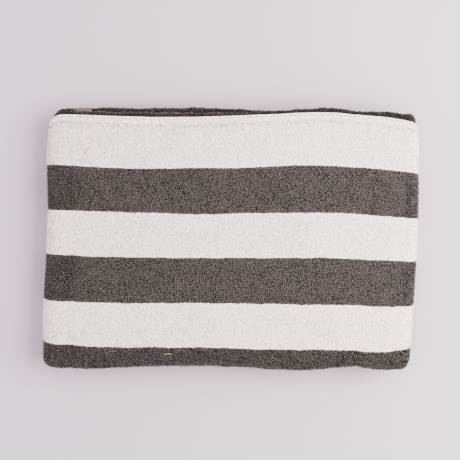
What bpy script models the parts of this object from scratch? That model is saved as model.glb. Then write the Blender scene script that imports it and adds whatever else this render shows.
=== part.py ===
"""A striped terry beach towel, folded for a shelf. Blender 4.5, metres, +Z up.

The towel is one flat piece of cloth. It is folded in three along its stripes, which makes a
long strip with a front fold and a back fold, and the strip is then folded in half twice. The
twelve layers lie back and forth on each other, a little apart.

The origin is on the surface that the towel rests on, under the middle of the folded towel.
+X runs along the stripes to the right, +Y to the back, where the free hem of the top layer
lies.
"""
import math

import bpy
from mathutils import Matrix, Vector

MM = 0.001

# ---- the cloth, lying flat -------------------------------------------------------------
CLOTH_LENGTH = 1524 * MM  # along the stripes
CLOTH_WIDTH = 762 * MM  # across the stripes
CLOTH_THICKNESS = 2.7 * MM  # ground weave with loops on both sides
SIDE_HEM = 7.8 * MM  # turned hem along each long side
END_HEM = 20 * MM  # turned hem at each short end
HEM_SHARE = 0.82  # thickness of a hem, which has no loops, as a share of the cloth's

# ---- how it is folded ------------------------------------------------------------------
LAYER_GAP = 0.4 * MM  # air between the three layers of the strip
STRIP_GAP = 1.6 * MM  # air between one strip and the next
LEFT_TURN_X = -174.0 * MM  # where the cloth starts to turn round the left-hand fold
RIGHT_TURN_X = 185.8 * MM  # where it starts to turn round the right-hand fold
FRONT_TURN_Y = -127.7 * MM  # where it starts to turn round the front fold
BACK_TURN_Y = 129.7 * MM  # where it starts to turn round the back fold
FREE_HEM_Y = 127.2 * MM  # edge of the top layer, just short of the back fold
BOTTOM_END_X = 189.0 * MM  # short end of the cloth in the lowest strip

LAYER_PITCH = CLOTH_THICKNESS + LAYER_GAP
STRIP_HEIGHT = 3 * CLOTH_THICKNESS + 2 * LAYER_GAP
STACK_HEIGHT = 4 * STRIP_HEIGHT + 3 * STRIP_GAP

# How the edges of the folded strip wander, in millimetres outwards from the places above.
# A row is one section across the strip. The first column is the run of the strip, D at the
# bottom to C, in the order in which the cloth passes through them; the second is the share
# of that run, and a run is straight or is one of the turns between two straight ones.
SECTIONS = (
    # run, share, front, back, hem
    ("D", 0.00, 0.5, 0.5, -1.0),
    ("D", 0.50, 1.5, 1.5, 0.5),
    ("left_outer", 0.00, 0.0, 0.0, 1.0),
    ("left_outer", 0.50, -6.5, -5.5, -3.0),
    ("A", 0.00, 2.2, 1.4, 2.6),
    ("A", 0.12, 1.7, 0.2, 0.9),
    ("A", 0.25, -0.6, -0.2, -0.3),
    ("A", 0.38, -1.2, -1.1, -0.2),
    ("A", 0.50, -1.8, -1.0, 1.0),
    ("A", 0.62, 1.3, 0.2, 2.8),
    ("A", 0.75, 1.6, 3.4, 4.8),
    ("A", 0.88, 0.4, 0.2, 1.2),
    ("A", 1.00, 1.5, -2.0, -4.6),
    ("right", 0.50, -6.0, -4.5, -8.0),
    ("B", 0.00, 1.3, -1.0, -3.0),
    ("B", 0.25, 4.3, -0.5, 1.0),
    ("B", 0.38, 5.3, 0.2, 1.5),
    ("B", 0.50, 2.3, 3.4, 1.0),
    ("B", 0.62, 1.3, 5.4, 2.0),
    ("B", 0.88, 1.3, 4.8, 2.0),
    ("left_inner", 0.00, 1.0, 2.8, 0.0),
    ("left_inner", 0.50, -3.5, -2.0, -2.0),
    ("C", 0.15, 0.5, 1.5, 0.5),
    ("C", 0.55, 2.0, 0.0, 1.5),
    ("C", 1.00, 0.0, 1.5, -0.5),
)

# How far the left-hand and the right-hand fold stray from a straight line, by place in Y.
END_LINES = (
    # y, left, right (mm)
    (130.0, 0.5, -1.8),
    (85.0, 0.2, -0.3),
    (30.0, -0.3, -0.2),
    (-20.0, -1.2, -2.9),
    (-70.0, -3.5, -5.8),
    (-125.0, -4.8, -9.8),
)
STACK_HALF = (195 * MM, 137 * MM)  # half size of the stack, for how its top is crowned
EDGE_DROOP = 0.055  # how much lower the stack is at its rim, as a share of its height
DROOP_POWER = 6  # the droop stays close to the rim
DROOP_REACH = 1.1  # share of the half size past which it grows no more
TOP_WAVES = (
    # share of the height, waves along x, waves along y, phase
    (0.014, 1.3, 0.4, 0.6),
    (0.010, 0.5, 1.6, 2.1),
    (0.007, 2.7, 1.1, 4.0),
)

# ---- how finely it is divided ----------------------------------------------------------
RUN_STEPS = 11  # along each straight run of the strip
LEFT_OUTER_STEPS = 8  # round the left-hand fold that wraps the whole stack
RIGHT_STEPS = 6
LEFT_INNER_STEPS = 6
PANEL_STEPS = 7  # across each third of the width
FRONT_STEPS = 7  # round the front fold
BACK_STEPS = 6  # round the back fold

# ---- the blank label, sewn to the cloth beside the back fold of strip B ------------------
LABEL_LENGTH = 21 * MM  # along the fold
LABEL_WIDTH = 13 * MM
LABEL_THICKNESS = 1.0 * MM
LABEL_CLEARANCE = 0.3 * MM
LABEL_LEFT_X = -163.5 * MM
LABEL_ROUND_TURN = 0.55  # share of the back turn that it is bent over
LABEL_STEPS = (6, 8)  # along and across

TERRY_COLOUR = (0.44, 0.41, 0.41, 1.0)
TERRY_ROUGHNESS = 0.95
LABEL_COLOUR = (0.28, 0.25, 0.24, 1.0)
LABEL_ROUGHNESS = 0.6
CREASE_ANGLE = math.radians(50)  # edges sharper than this are shaded as edges


def empty_scene():
    for thing in list(bpy.data.objects):
        bpy.data.objects.remove(thing)


def steps(start, end, count):
    """Places from start to end, without end."""
    return [start + (end - start) * i / count for i in range(count)]


def smooth(rows, at):
    """The value at a place, on a smooth curve through rows of (place, value)."""
    if at <= rows[0][0]:
        return rows[0][1]
    if at >= rows[-1][0]:
        return rows[-1][1]
    i = next(n for n in range(len(rows) - 1) if at <= rows[n + 1][0])

    def slope(k):
        before, after = rows[max(k - 1, 0)], rows[min(k + 1, len(rows) - 1)]
        return (after[1] - before[1]) / (after[0] - before[0])

    (x0, y0), (x1, y1) = rows[i], rows[i + 1]
    wide = x1 - x0
    t = (at - x0) / wide
    return (
        y0 * (1 + 2 * t) * (1 - t) ** 2
        + y1 * t * t * (3 - 2 * t)
        + wide * slope(i) * t * (1 - t) ** 2
        - wide * slope(i + 1) * t * t * (1 - t)
    )


# ---- folded in three: where a point of the width lies in the strip's own section ---------
FLAP_END = FREE_HEM_Y - FRONT_TURN_Y
FRONT_END = FLAP_END + math.pi * LAYER_PITCH
PANEL_END = FRONT_END + BACK_TURN_Y - FRONT_TURN_Y
BACK_END = PANEL_END + math.pi * LAYER_PITCH / 2
INNER_HEM_Y = BACK_TURN_Y - (CLOTH_WIDTH - BACK_END)


def fold_in_three(across, lift, front, back, hem):
    """(y, height in the strip) of a point at a distance from the free hem, lifted off the
    middle of the cloth. front, back and hem are how far those edges stray outwards there."""
    front_y, back_y, hem_y = FRONT_TURN_Y - front, BACK_TURN_Y + back, FREE_HEM_Y + hem
    if across <= FLAP_END:
        share = across / FLAP_END
        return hem_y + (front_y - hem_y) * share, 2 * LAYER_PITCH + lift
    if across <= FRONT_END:
        turn = math.pi * (across - FLAP_END) / (FRONT_END - FLAP_END)
        radius = LAYER_PITCH + lift
        return front_y - radius * math.sin(turn), LAYER_PITCH + radius * math.cos(turn)
    if across <= PANEL_END:
        share = (across - FRONT_END) / (PANEL_END - FRONT_END)
        return front_y + (back_y - front_y) * share, -lift
    if across <= BACK_END:
        turn = math.pi * (across - PANEL_END) / (BACK_END - PANEL_END)
        radius = LAYER_PITCH / 2 + lift
        return back_y + radius * math.sin(turn), LAYER_PITCH / 2 - radius * math.cos(turn)
    share = (across - BACK_END) / (CLOTH_WIDTH - BACK_END)
    return back_y + (INNER_HEM_Y - back_y) * share, LAYER_PITCH + lift


# ---- folded in half twice: where a point of the length lies in the stack -----------------
RUN = RIGHT_TURN_X - LEFT_TURN_X
FACING = CLOTH_THICKNESS + STRIP_GAP  # between the middles of two layers of unlike strips
D_HEIGHT = 2 * LAYER_PITCH + CLOTH_THICKNESS / 2
A_HEIGHT = STACK_HEIGHT - D_HEIGHT
LEFT_TURN_Z = STACK_HEIGHT / 2
OUTER_RADIUS = (A_HEIGHT - D_HEIGHT) / 2
INNER_RADIUS = OUTER_RADIUS - FACING
RIGHT_RADIUS = FACING / 2
RIGHT_TURN_Z = A_HEIGHT - RIGHT_RADIUS

RUN_LENGTHS = {
    "D": BOTTOM_END_X - LEFT_TURN_X,
    "left_outer": math.pi * OUTER_RADIUS,
    "A": RUN,
    "right": math.pi * RIGHT_RADIUS,
    "B": RUN,
    "left_inner": math.pi * INNER_RADIUS,
}
RUN_LENGTHS["C"] = CLOTH_LENGTH - sum(RUN_LENGTHS.values())
RUN_STARTS = {}
for name in RUN_LENGTHS:
    RUN_STARTS[name] = sum(RUN_LENGTHS[n] for n in RUN_STARTS)


def run_at(along):
    """The run of the strip that a place along the cloth is in, and its share of that run."""
    for run, start in reversed(RUN_STARTS.items()):
        if along >= start:
            return run, (along - start) / RUN_LENGTHS[run]
    return "D", 0.0


def fold_in_half_twice(along, height):
    """(x, z) of a point along the cloth, at a height in the strip."""
    run, share = run_at(along)
    turn = math.pi * share
    if run == "D":
        return BOTTOM_END_X + (LEFT_TURN_X - BOTTOM_END_X) * share, D_HEIGHT - height
    if run == "left_outer":
        radius = OUTER_RADIUS + height
        return LEFT_TURN_X - radius * math.sin(turn), LEFT_TURN_Z - radius * math.cos(turn)
    if run == "A":
        return LEFT_TURN_X + RUN * share, A_HEIGHT + height
    if run == "right":
        radius = RIGHT_RADIUS + height
        return RIGHT_TURN_X + radius * math.sin(turn), RIGHT_TURN_Z + radius * math.cos(turn)
    if run == "B":
        return RIGHT_TURN_X - RUN * share, A_HEIGHT - FACING - height
    if run == "left_inner":
        radius = INNER_RADIUS - height
        return LEFT_TURN_X - radius * math.sin(turn), LEFT_TURN_Z + radius * math.cos(turn)
    return LEFT_TURN_X + RUN_LENGTHS["C"] * share, D_HEIGHT + FACING + height


def edges_at(along):
    """How far the front fold, the back fold and the free hem stray outwards there."""
    places = [RUN_STARTS[run] + share * RUN_LENGTHS[run] for run, share, *_ in SECTIONS]
    return [
        smooth([(p, row[column] * MM) for p, row in zip(places, SECTIONS)], along)
        for column in (2, 3, 4)
    ]


# ---- how the folded stack settles --------------------------------------------------------
def settle(x, y, z):
    """Leans the end folds and crowns the stack, without moving its flat underside up."""
    share = (x - LEFT_TURN_X) / RUN
    left, right = (
        smooth([(row[0] * MM, row[column] * MM) for row in reversed(END_LINES)], y)
        for column in (1, 2)
    )
    rim = max(abs(x) / STACK_HALF[0], abs(y) / STACK_HALF[1])
    height = 1 - EDGE_DROOP * min(rim, DROOP_REACH) ** DROOP_POWER
    for size, waves_x, waves_y, phase in TOP_WAVES:
        turn = math.pi * (waves_x * x / STACK_HALF[0] + waves_y * y / STACK_HALF[1])
        height += size * math.sin(turn + phase)
    return x + left + (right - left) * share, y, z * height


# ---- the towel -----------------------------------------------------------------------------
def lines_along():
    """Places along the cloth where its mesh is divided, close together where it turns."""
    ends = {name: RUN_STARTS[name] + RUN_LENGTHS[name] for name in RUN_LENGTHS}
    counts = {
        "D": RUN_STEPS,
        "left_outer": LEFT_OUTER_STEPS,
        "A": RUN_STEPS,
        "right": RIGHT_STEPS,
        "B": RUN_STEPS,
        "left_inner": LEFT_INNER_STEPS,
        "C": RUN_STEPS,
    }
    lines = [0.0] + steps(END_HEM, ends["D"], counts["D"])
    for name in ("left_outer", "A", "right", "B", "left_inner"):
        lines += steps(RUN_STARTS[name], ends[name], counts[name])
    lines += steps(RUN_STARTS["C"], CLOTH_LENGTH - END_HEM, counts["C"])
    return lines + [CLOTH_LENGTH - END_HEM, CLOTH_LENGTH]


def lines_across():
    """Places across the cloth where its mesh is divided."""
    lines = [0.0] + steps(SIDE_HEM, FLAP_END, PANEL_STEPS)
    lines += steps(FLAP_END, FRONT_END, FRONT_STEPS)
    lines += steps(FRONT_END, PANEL_END, PANEL_STEPS)
    lines += steps(PANEL_END, BACK_END, BACK_STEPS)
    lines += steps(BACK_END, CLOTH_WIDTH - SIDE_HEM, PANEL_STEPS)
    return lines + [CLOTH_WIDTH - SIDE_HEM, CLOTH_WIDTH]


def slab(name, along, across, thickness):
    """A flat piece of cloth as woven, with a grid line at each of those places."""
    bpy.ops.mesh.primitive_grid_add(
        x_subdivisions=len(along) - 1, y_subdivisions=len(across) - 1, size=1
    )
    cloth = bpy.context.object
    cloth.name = name
    thick = cloth.modifiers.new("thickness", "SOLIDIFY")
    thick.thickness = thickness
    thick.offset = 0
    thick.use_flip_normals = True  # the folds turn the cloth's own frame inside out
    bpy.ops.object.modifier_apply(modifier=thick.name)
    for corner in cloth.data.vertices:
        column = round((corner.co.x + 0.5) * (len(along) - 1))
        row = round((corner.co.y + 0.5) * (len(across) - 1))
        corner.co.x, corner.co.y = along[column], across[row]
    return cloth


def press_hems(cloth):
    """Thins the outermost lines of the cloth, where the hems have no loops."""
    for corner in cloth.data.vertices:
        side = min(corner.co.y, CLOTH_WIDTH - corner.co.y) < SIDE_HEM / 2
        end = min(corner.co.x, CLOTH_LENGTH - corner.co.x) < END_HEM / 2
        if side or end:
            corner.co.z *= HEM_SHARE


def fold(cloth, lift=0.0):
    """Folds a flat piece that lies at that height over the middle of the cloth."""
    sections = {}
    for corner in cloth.data.vertices:
        along, across, height = corner.co
        if along not in sections:
            sections[along] = edges_at(along)
        y, height = fold_in_three(across, height + lift, *sections[along])
        x, z = fold_in_half_twice(along, height)
        corner.co = settle(x, y, z)


def make_towel():
    towel = slab("towel", lines_along(), lines_across(), CLOTH_THICKNESS)
    press_hems(towel)
    fold(towel)
    return towel


def make_label():
    """The label lies on strip B, which runs leftwards with its outer face up."""
    long_steps, wide_steps = LABEL_STEPS
    end = RUN_STARTS["B"] + RIGHT_TURN_X - LABEL_LEFT_X
    edge = PANEL_END + (BACK_END - PANEL_END) * LABEL_ROUND_TURN
    label = slab(
        "care_label",
        steps(end - LABEL_LENGTH, end, long_steps) + [end],
        steps(edge - LABEL_WIDTH, edge, wide_steps) + [edge],
        LABEL_THICKNESS,
    )
    fold(label, (CLOTH_THICKNESS + LABEL_THICKNESS) / 2 + LABEL_CLEARANCE)
    return label


def centre(things):
    """Puts the middle of the whole over the origin."""
    corners = [corner.co for thing in things for corner in thing.data.vertices]
    middle = Vector(
        (
            (min(c.x for c in corners) + max(c.x for c in corners)) / 2,
            (min(c.y for c in corners) + max(c.y for c in corners)) / 2,
            min(c.z for c in corners),
        )
    )
    for thing in things:
        thing.data.transform(Matrix.Translation(-middle))


def finish(thing, name, colour, roughness):
    """Smooth shading, and a material of that name."""
    thing.data.shade_smooth()
    thing.data.set_sharp_from_angle(angle=CREASE_ANGLE)
    material = bpy.data.materials.new(name)
    material.use_nodes = True
    shader = material.node_tree.nodes["Principled BSDF"]
    shader.inputs["Base Color"].default_value = colour
    shader.inputs["Roughness"].default_value = roughness
    shader.inputs["Metallic"].default_value = 0.0
    thing.data.materials.append(material)


def collect(things, name):
    group = bpy.data.collections.new(name)
    bpy.context.scene.collection.children.link(group)
    for thing in things:
        for home in list(thing.users_collection):
            home.objects.unlink(thing)
        group.objects.link(thing)


def main():
    empty_scene()
    towel, label = make_towel(), make_label()
    centre((towel, label))
    finish(towel, "terry", TERRY_COLOUR, TERRY_ROUGHNESS)
    finish(label, "label_satin", LABEL_COLOUR, LABEL_ROUGHNESS)
    collect((towel, label), "beach_towel")


main()
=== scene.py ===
import math

import bpy
import numpy as np
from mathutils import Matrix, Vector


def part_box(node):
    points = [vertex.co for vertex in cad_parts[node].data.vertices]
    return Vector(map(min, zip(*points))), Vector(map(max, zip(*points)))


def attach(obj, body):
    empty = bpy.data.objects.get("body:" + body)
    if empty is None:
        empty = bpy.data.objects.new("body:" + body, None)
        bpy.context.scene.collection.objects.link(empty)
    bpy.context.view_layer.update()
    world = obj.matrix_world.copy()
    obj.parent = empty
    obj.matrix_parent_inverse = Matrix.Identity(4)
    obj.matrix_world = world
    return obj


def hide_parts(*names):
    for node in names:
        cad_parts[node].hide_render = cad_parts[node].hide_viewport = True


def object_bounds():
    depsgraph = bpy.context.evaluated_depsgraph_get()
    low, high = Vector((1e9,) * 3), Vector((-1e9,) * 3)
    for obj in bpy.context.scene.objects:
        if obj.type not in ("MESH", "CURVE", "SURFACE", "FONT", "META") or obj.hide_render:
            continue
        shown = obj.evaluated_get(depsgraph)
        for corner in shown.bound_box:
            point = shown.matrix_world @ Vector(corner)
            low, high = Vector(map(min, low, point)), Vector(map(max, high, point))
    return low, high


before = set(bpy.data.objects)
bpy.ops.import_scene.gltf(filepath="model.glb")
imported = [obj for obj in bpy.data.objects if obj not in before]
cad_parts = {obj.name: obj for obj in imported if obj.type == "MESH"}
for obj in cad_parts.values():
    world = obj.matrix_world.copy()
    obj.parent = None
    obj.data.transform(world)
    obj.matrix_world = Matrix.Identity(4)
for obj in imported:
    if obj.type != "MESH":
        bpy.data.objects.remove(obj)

cad_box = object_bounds()
bpy.ops.object.select_all(action="DESELECT")

# ---- The surface, the light and the camera -----------------------------------
# The towel lies on a plain pale surface in a bright even room, with a large soft light over its
# right and a fainter low one at its left. The camera looks straight down on it.
MM = 0.001
PICTURE = 460  # pixels across the picture, and down it
PIXEL = 1.033 * MM  # what one of them spans on the top layer
CAMERA_RISE = 900 * MM  # over the top layer
CAMERA_PLACE = (-0.2 * MM, 9.3 * MM)
FLOOR_SIZE = 8.0
FLOOR_DROP = 0.1 * MM  # under the towel
FLOOR_COLOUR = (0.480, 0.423, 0.460, 1)
ROOM_COLOUR = (0.99, 0.96, 0.995, 1)
ROOM_STRENGTH = 0.985
LIGHTS = (
    # place, size, power, colour
    ((0.75, 0.05, 0.75), 0.85, 21.6, (0.99, 1.0, 0.95)),
    ((-1.3, 0.0, 0.45), 0.8, 12.0, (1.0, 0.90, 0.97)),
)


def new_material(name, values):
    """A material with those values on its shader, and its node tree and shader."""
    material = bpy.data.materials.new(name)
    material.use_nodes = True
    shader = material.node_tree.nodes["Principled BSDF"]
    for title, value in values.items():
        shader.inputs[title].default_value = value
    return material, material.node_tree, shader


bpy.ops.mesh.primitive_plane_add(size=FLOOR_SIZE, location=(0, 0, -FLOOR_DROP))
floor = bpy.context.object
floor.name = "floor"
paper, _, _ = new_material("pale floor", {"Base Color": FLOOR_COLOUR, "Roughness": 0.9})
floor.data.materials.append(paper)

scene = bpy.context.scene
scene.world = bpy.data.worlds.new("room")
scene.world.use_nodes = True
background = scene.world.node_tree.nodes["Background"]
background.inputs["Color"].default_value = ROOM_COLOUR
background.inputs["Strength"].default_value = ROOM_STRENGTH
scene.view_settings.view_transform = "AgX"
scene.view_settings.look = "AgX - High Contrast"

for place, size, power, colour in LIGHTS:
    bpy.ops.object.light_add(type="AREA", location=place)
    light = bpy.context.object
    light.data.size = size
    light.data.energy = power
    light.data.color = colour
    light.rotation_euler = (-light.location).to_track_quat("-Z", "Y").to_euler()

bpy.ops.object.camera_add(location=(*CAMERA_PLACE, cad_box[1].z + CAMERA_RISE))
scene.camera = bpy.context.object
scene.camera.data.lens = scene.camera.data.sensor_width * CAMERA_RISE / (PICTURE * PIXEL)

# ---- The towel's cloth -------------------------------------------------------
# One rectangle of striped cotton terry with turned hems. It is folded in three along its
# stripes, which makes a strip with a front fold and a back fold, and the strip is folded in
# half twice. Every piece of the towel is made flat, in the cloth's own two directions, and
# folded by the same rules.
CLOTH_LENGTH = 1524 * MM  # along the stripes
CLOTH_WIDTH = 762 * MM  # across the stripes
CLOTH_THICKNESS = 2.7 * MM  # with the loops on both sides
SIDE_HEM = 7.8 * MM
END_HEM = 20 * MM
EDGE_STRIPE = 55.5 * MM  # with its hem
STRIPE = 46.5 * MM
LAYER_GAP = 0.4 * MM
STRIP_GAP = 1.6 * MM
LEFT_TURN_X = -174.0 * MM
RIGHT_TURN_X = 185.8 * MM
FRONT_TURN_Y = -127.7 * MM
BACK_TURN_Y = 129.7 * MM
FREE_HEM_Y = 127.2 * MM
BOTTOM_END_X = 189.0 * MM

LAYER_PITCH = CLOTH_THICKNESS + LAYER_GAP
STRIP_HEIGHT = 3 * CLOTH_THICKNESS + 2 * LAYER_GAP
STACK_HEIGHT = 4 * STRIP_HEIGHT + 3 * STRIP_GAP

FLAP_END = FREE_HEM_Y - FRONT_TURN_Y
FRONT_END = FLAP_END + math.pi * LAYER_PITCH
PANEL_END = FRONT_END + BACK_TURN_Y - FRONT_TURN_Y
BACK_END = PANEL_END + math.pi * LAYER_PITCH / 2
INNER_HEM_Y = BACK_TURN_Y - (CLOTH_WIDTH - BACK_END)

RUN = RIGHT_TURN_X - LEFT_TURN_X
FACING = CLOTH_THICKNESS + STRIP_GAP
D_HEIGHT = 2 * LAYER_PITCH + CLOTH_THICKNESS / 2
A_HEIGHT = STACK_HEIGHT - D_HEIGHT
LEFT_TURN_Z = STACK_HEIGHT / 2
OUTER_RADIUS = (A_HEIGHT - D_HEIGHT) / 2
INNER_RADIUS = OUTER_RADIUS - FACING
RIGHT_RADIUS = FACING / 2
RIGHT_TURN_Z = A_HEIGHT - RIGHT_RADIUS

RUN_LENGTHS = {
    "D": BOTTOM_END_X - LEFT_TURN_X,
    "left_outer": math.pi * OUTER_RADIUS,
    "A": RUN,
    "right": math.pi * RIGHT_RADIUS,
    "B": RUN,
    "left_inner": math.pi * INNER_RADIUS,
}
RUN_LENGTHS["C"] = CLOTH_LENGTH - sum(RUN_LENGTHS.values())
RUN_STARTS = {}
for run in RUN_LENGTHS:
    RUN_STARTS[run] = sum(RUN_LENGTHS[before] for before in RUN_STARTS)

SECTIONS = (
    # run, share of it, how far the front fold, the back fold and the free hem stray out (mm)
    ("D", 0.00, 0.5, -5.0, -1.0),
    ("D", 0.10, 1.0, -0.5, -0.5),
    ("D", 0.50, 1.5, 1.5, 0.5),
    ("left_outer", 0.00, 0.0, 0.0, 1.0),
    ("left_outer", 0.50, 0.2, 0.0, 1.6),
    ("A", 0.00, 2.2, 4.2, 2.6),
    ("A", 0.015, 2.25, 3.9, 2.4),
    ("A", 0.035, 2.35, 0.9, 2.2),
    ("A", 0.07, 2.5, 0.9, 1.7),
    ("A", 0.12, 2.7, 0.3, 1.0),
    ("A", 0.25, 0.2, -0.2, -0.3),
    ("A", 0.38, -0.8, -0.8, -0.2),
    ("A", 0.50, -1.6, -0.8, 1.0),
    ("A", 0.62, 1.8, 1.5, 2.8),
    ("A", 0.69, 4.4, 3.0, 4.1),
    ("A", 0.76, 3.4, 4.7, 4.5),
    ("A", 0.85, 0.7, 1.0, 1.9),
    ("A", 0.94, 4.0, 0.0, -1.1),
    ("A", 0.97, 4.1, -0.9, -2.9),
    ("A", 1.00, 3.7, -2.2, -5.2),
    ("right", 0.50, 1.2, -3.0, -7.6),
    ("B", 0.00, 2.6, -3.2, -3.0),
    ("B", 0.06, 1.8, -0.6, -1.0),
    ("B", 0.15, 0.0, 0.2, 0.0),
    ("B", 0.25, 5.4, -0.5, 1.0),
    ("B", 0.31, 6.0, 0.4, 1.2),
    ("B", 0.38, 4.9, 1.8, 1.5),
    ("B", 0.50, 2.3, 4.0, 1.0),
    ("B", 0.62, 1.6, 5.6, 2.0),
    ("B", 0.75, 2.0, 5.0, 2.0),
    ("B", 0.88, 2.3, 5.6, 2.0),
    ("B", 0.90, 2.0, 6.0, 1.2),
    ("B", 0.94, 2.0, 5.0, 1.0),
    ("left_inner", 0.00, 1.0, 4.2, 0.0),
    ("left_inner", 0.50, 0.0, 0.5, 0.0),
    ("C", 0.15, 0.5, 1.5, 0.5),
    ("C", 0.55, 2.0, 0.0, 1.5),
    ("C", 0.90, 0.5, -0.5, 0.0),
    ("C", 1.00, 0.0, -5.0, -0.5),
)
CORNERS = (
    # end fold, how far the corners at the front fold, the back fold and the free hem are drawn
    # in at its middle (mm)
    ("left_outer", 1.9, 6.2, 6.0),
    ("right", 4.2, 2.6, 6.5),
    ("left_inner", 3.5, 2.5, 2.5),
)
CORNER_START = 0.25  # share of the end fold's reach where a corner begins to round
CORNER_REACH = 17 * MM  # from the front fold, the back fold or the hem
END_LINES = (
    # y, how far the left-hand and the right-hand fold stray to the right there (mm)
    (-125.0, -7.2, -11.6),
    (-70.0, -7.1, -7.6),
    (-20.0, -4.3, -4.4),
    (30.0, -2.4, -2.3),
    (85.0, -3.3, -2.1),
    (130.0, -0.9, -2.8),
)
STACK_HALF = (195 * MM, 137 * MM)
EDGE_DROOP = 0.055
DROOP_POWER = 6
DROOP_REACH = 1.1
TOP_WAVES = (
    # share of the height, waves along x, waves along y, phase
    (0.014, 1.3, 0.4, 0.6),
    (0.010, 0.5, 1.6, 2.1),
    (0.007, 2.7, 1.1, 4.0),
)
EDGE_WAVES = (
    # how far a fold wanders besides (mm), length of the wave along the cloth (mm), phase
    (0.28, 43.0, 0.4),
    (0.20, 23.0, 2.2),
    (0.14, 13.7, 5.1),
)
HEM_STIFFNESS = 0.3  # share of those waves that the sewn hem follows


def smooth(rows, at):
    """Values on a smooth curve through rows of (place, value)."""
    places, values = np.array(rows, float).T
    slopes = np.gradient(values, places)
    slopes[1:-1] = (values[2:] - values[:-2]) / (places[2:] - places[:-2])
    at = np.clip(at, places[0], places[-1])
    i = np.clip(np.searchsorted(places, at, side="right") - 1, 0, len(places) - 2)
    wide = places[i + 1] - places[i]
    t = (at - places[i]) / wide
    return (
        values[i] * (1 + 2 * t) * (1 - t) ** 2
        + values[i + 1] * t * t * (3 - 2 * t)
        + wide * slopes[i] * t * (1 - t) ** 2
        - wide * slopes[i + 1] * t * t * (1 - t)
    )


def ramp(start, end, at):
    """0 before start, 1 after end, and smooth between them."""
    t = np.clip((at - start) / (end - start), 0, 1)
    return t * t * (3 - 2 * t)


def edges_at(along):
    """How far the front fold, the back fold and the free hem stray outwards there."""
    places = [RUN_STARTS[run] + share * RUN_LENGTHS[run] for run, share, *_ in SECTIONS]
    strays = []
    for column in (2, 3, 4):
        stray = smooth([(p, row[column]) for p, row in zip(places, SECTIONS)], along)
        for size, length, phase in EDGE_WAVES:
            size = size * (HEM_STIFFNESS if column == 4 else 1)
            stray = stray + size * np.sin(math.tau * along / (length * MM) + phase * column)
        strays.append(stray * MM)
    return strays


def fold_in_three(across, lift, front, back, hem):
    """(y, height in the strip) of points of the cloth that are lifted off its middle."""
    front_y, back_y, hem_y = FRONT_TURN_Y - front, BACK_TURN_Y + back, FREE_HEM_Y + hem
    front_turn = math.pi * (across - FLAP_END) / (FRONT_END - FLAP_END)
    panel_share = (across - FRONT_END) / (PANEL_END - FRONT_END)
    back_turn = math.pi * (across - PANEL_END) / (BACK_END - PANEL_END)
    inner_share = (across - BACK_END) / (CLOTH_WIDTH - BACK_END)
    part = np.searchsorted((FLAP_END, FRONT_END, PANEL_END, BACK_END), across)
    y = (
        hem_y + (front_y - hem_y) * across / FLAP_END,
        front_y - (LAYER_PITCH + lift) * np.sin(front_turn),
        front_y + (back_y - front_y) * panel_share,
        back_y + (LAYER_PITCH / 2 + lift) * np.sin(back_turn),
        back_y + (INNER_HEM_Y - back_y) * inner_share,
    )
    height = (
        2 * LAYER_PITCH + lift,
        LAYER_PITCH + (LAYER_PITCH + lift) * np.cos(front_turn),
        -lift,
        LAYER_PITCH / 2 - (LAYER_PITCH / 2 + lift) * np.cos(back_turn),
        LAYER_PITCH + lift,
    )
    return np.choose(part, y), np.choose(part, height)


def run_at(along):
    """The number of the run that each place along the cloth is in, and its share of that run."""
    starts, lengths = np.array(list(RUN_STARTS.values())), np.array(list(RUN_LENGTHS.values()))
    number = np.clip(np.searchsorted(starts, along, side="right") - 1, 0, len(starts) - 1)
    return number, (along - starts[number]) / lengths[number]


def fold_in_half_twice(along, height):
    """(x, z) of points along the cloth, at a height in the strip."""
    number, share = run_at(along)
    sin, cos = np.sin(math.pi * share), np.cos(math.pi * share)
    outer, inner = OUTER_RADIUS + height, INNER_RADIUS - height
    right = RIGHT_RADIUS + height
    x = (
        BOTTOM_END_X + (LEFT_TURN_X - BOTTOM_END_X) * share,
        LEFT_TURN_X - outer * sin,
        LEFT_TURN_X + RUN * share,
        RIGHT_TURN_X + right * sin,
        RIGHT_TURN_X - RUN * share,
        LEFT_TURN_X - inner * sin,
        LEFT_TURN_X + RUN_LENGTHS["C"] * share,
    )
    z = (
        D_HEIGHT - height,
        LEFT_TURN_Z - outer * cos,
        A_HEIGHT + height,
        RIGHT_TURN_Z + right * cos,
        A_HEIGHT - FACING - height,
        LEFT_TURN_Z + inner * cos,
        D_HEIGHT + FACING + height,
    )
    return np.choose(number, x), np.choose(number, z)


def corner_pull(along, across):
    """How far a place is drawn to the back by the rounding of a corner at an end fold."""
    number, share = run_at(along)
    names = list(RUN_LENGTHS)
    pulls = np.zeros((len(names), 3))
    for fold, *pull in CORNERS:
        pulls[names.index(fold)] = pull
    reach = np.clip((np.sin(math.pi * share) - CORNER_START) / (1 - CORNER_START), 0, 1)
    front, back, hem = np.moveaxis(pulls[number] * MM * reach[..., None] ** 2, -1, 0)
    at_front = ramp(FLAP_END - CORNER_REACH, FLAP_END, across)
    at_front = at_front * ramp(FRONT_END + CORNER_REACH, FRONT_END, across)
    at_back = ramp(PANEL_END - CORNER_REACH, PANEL_END, across)
    at_back = at_back * ramp(BACK_END + CORNER_REACH, BACK_END, across)
    return front * at_front - back * at_back - hem * ramp(CORNER_REACH, 0, across)


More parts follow.
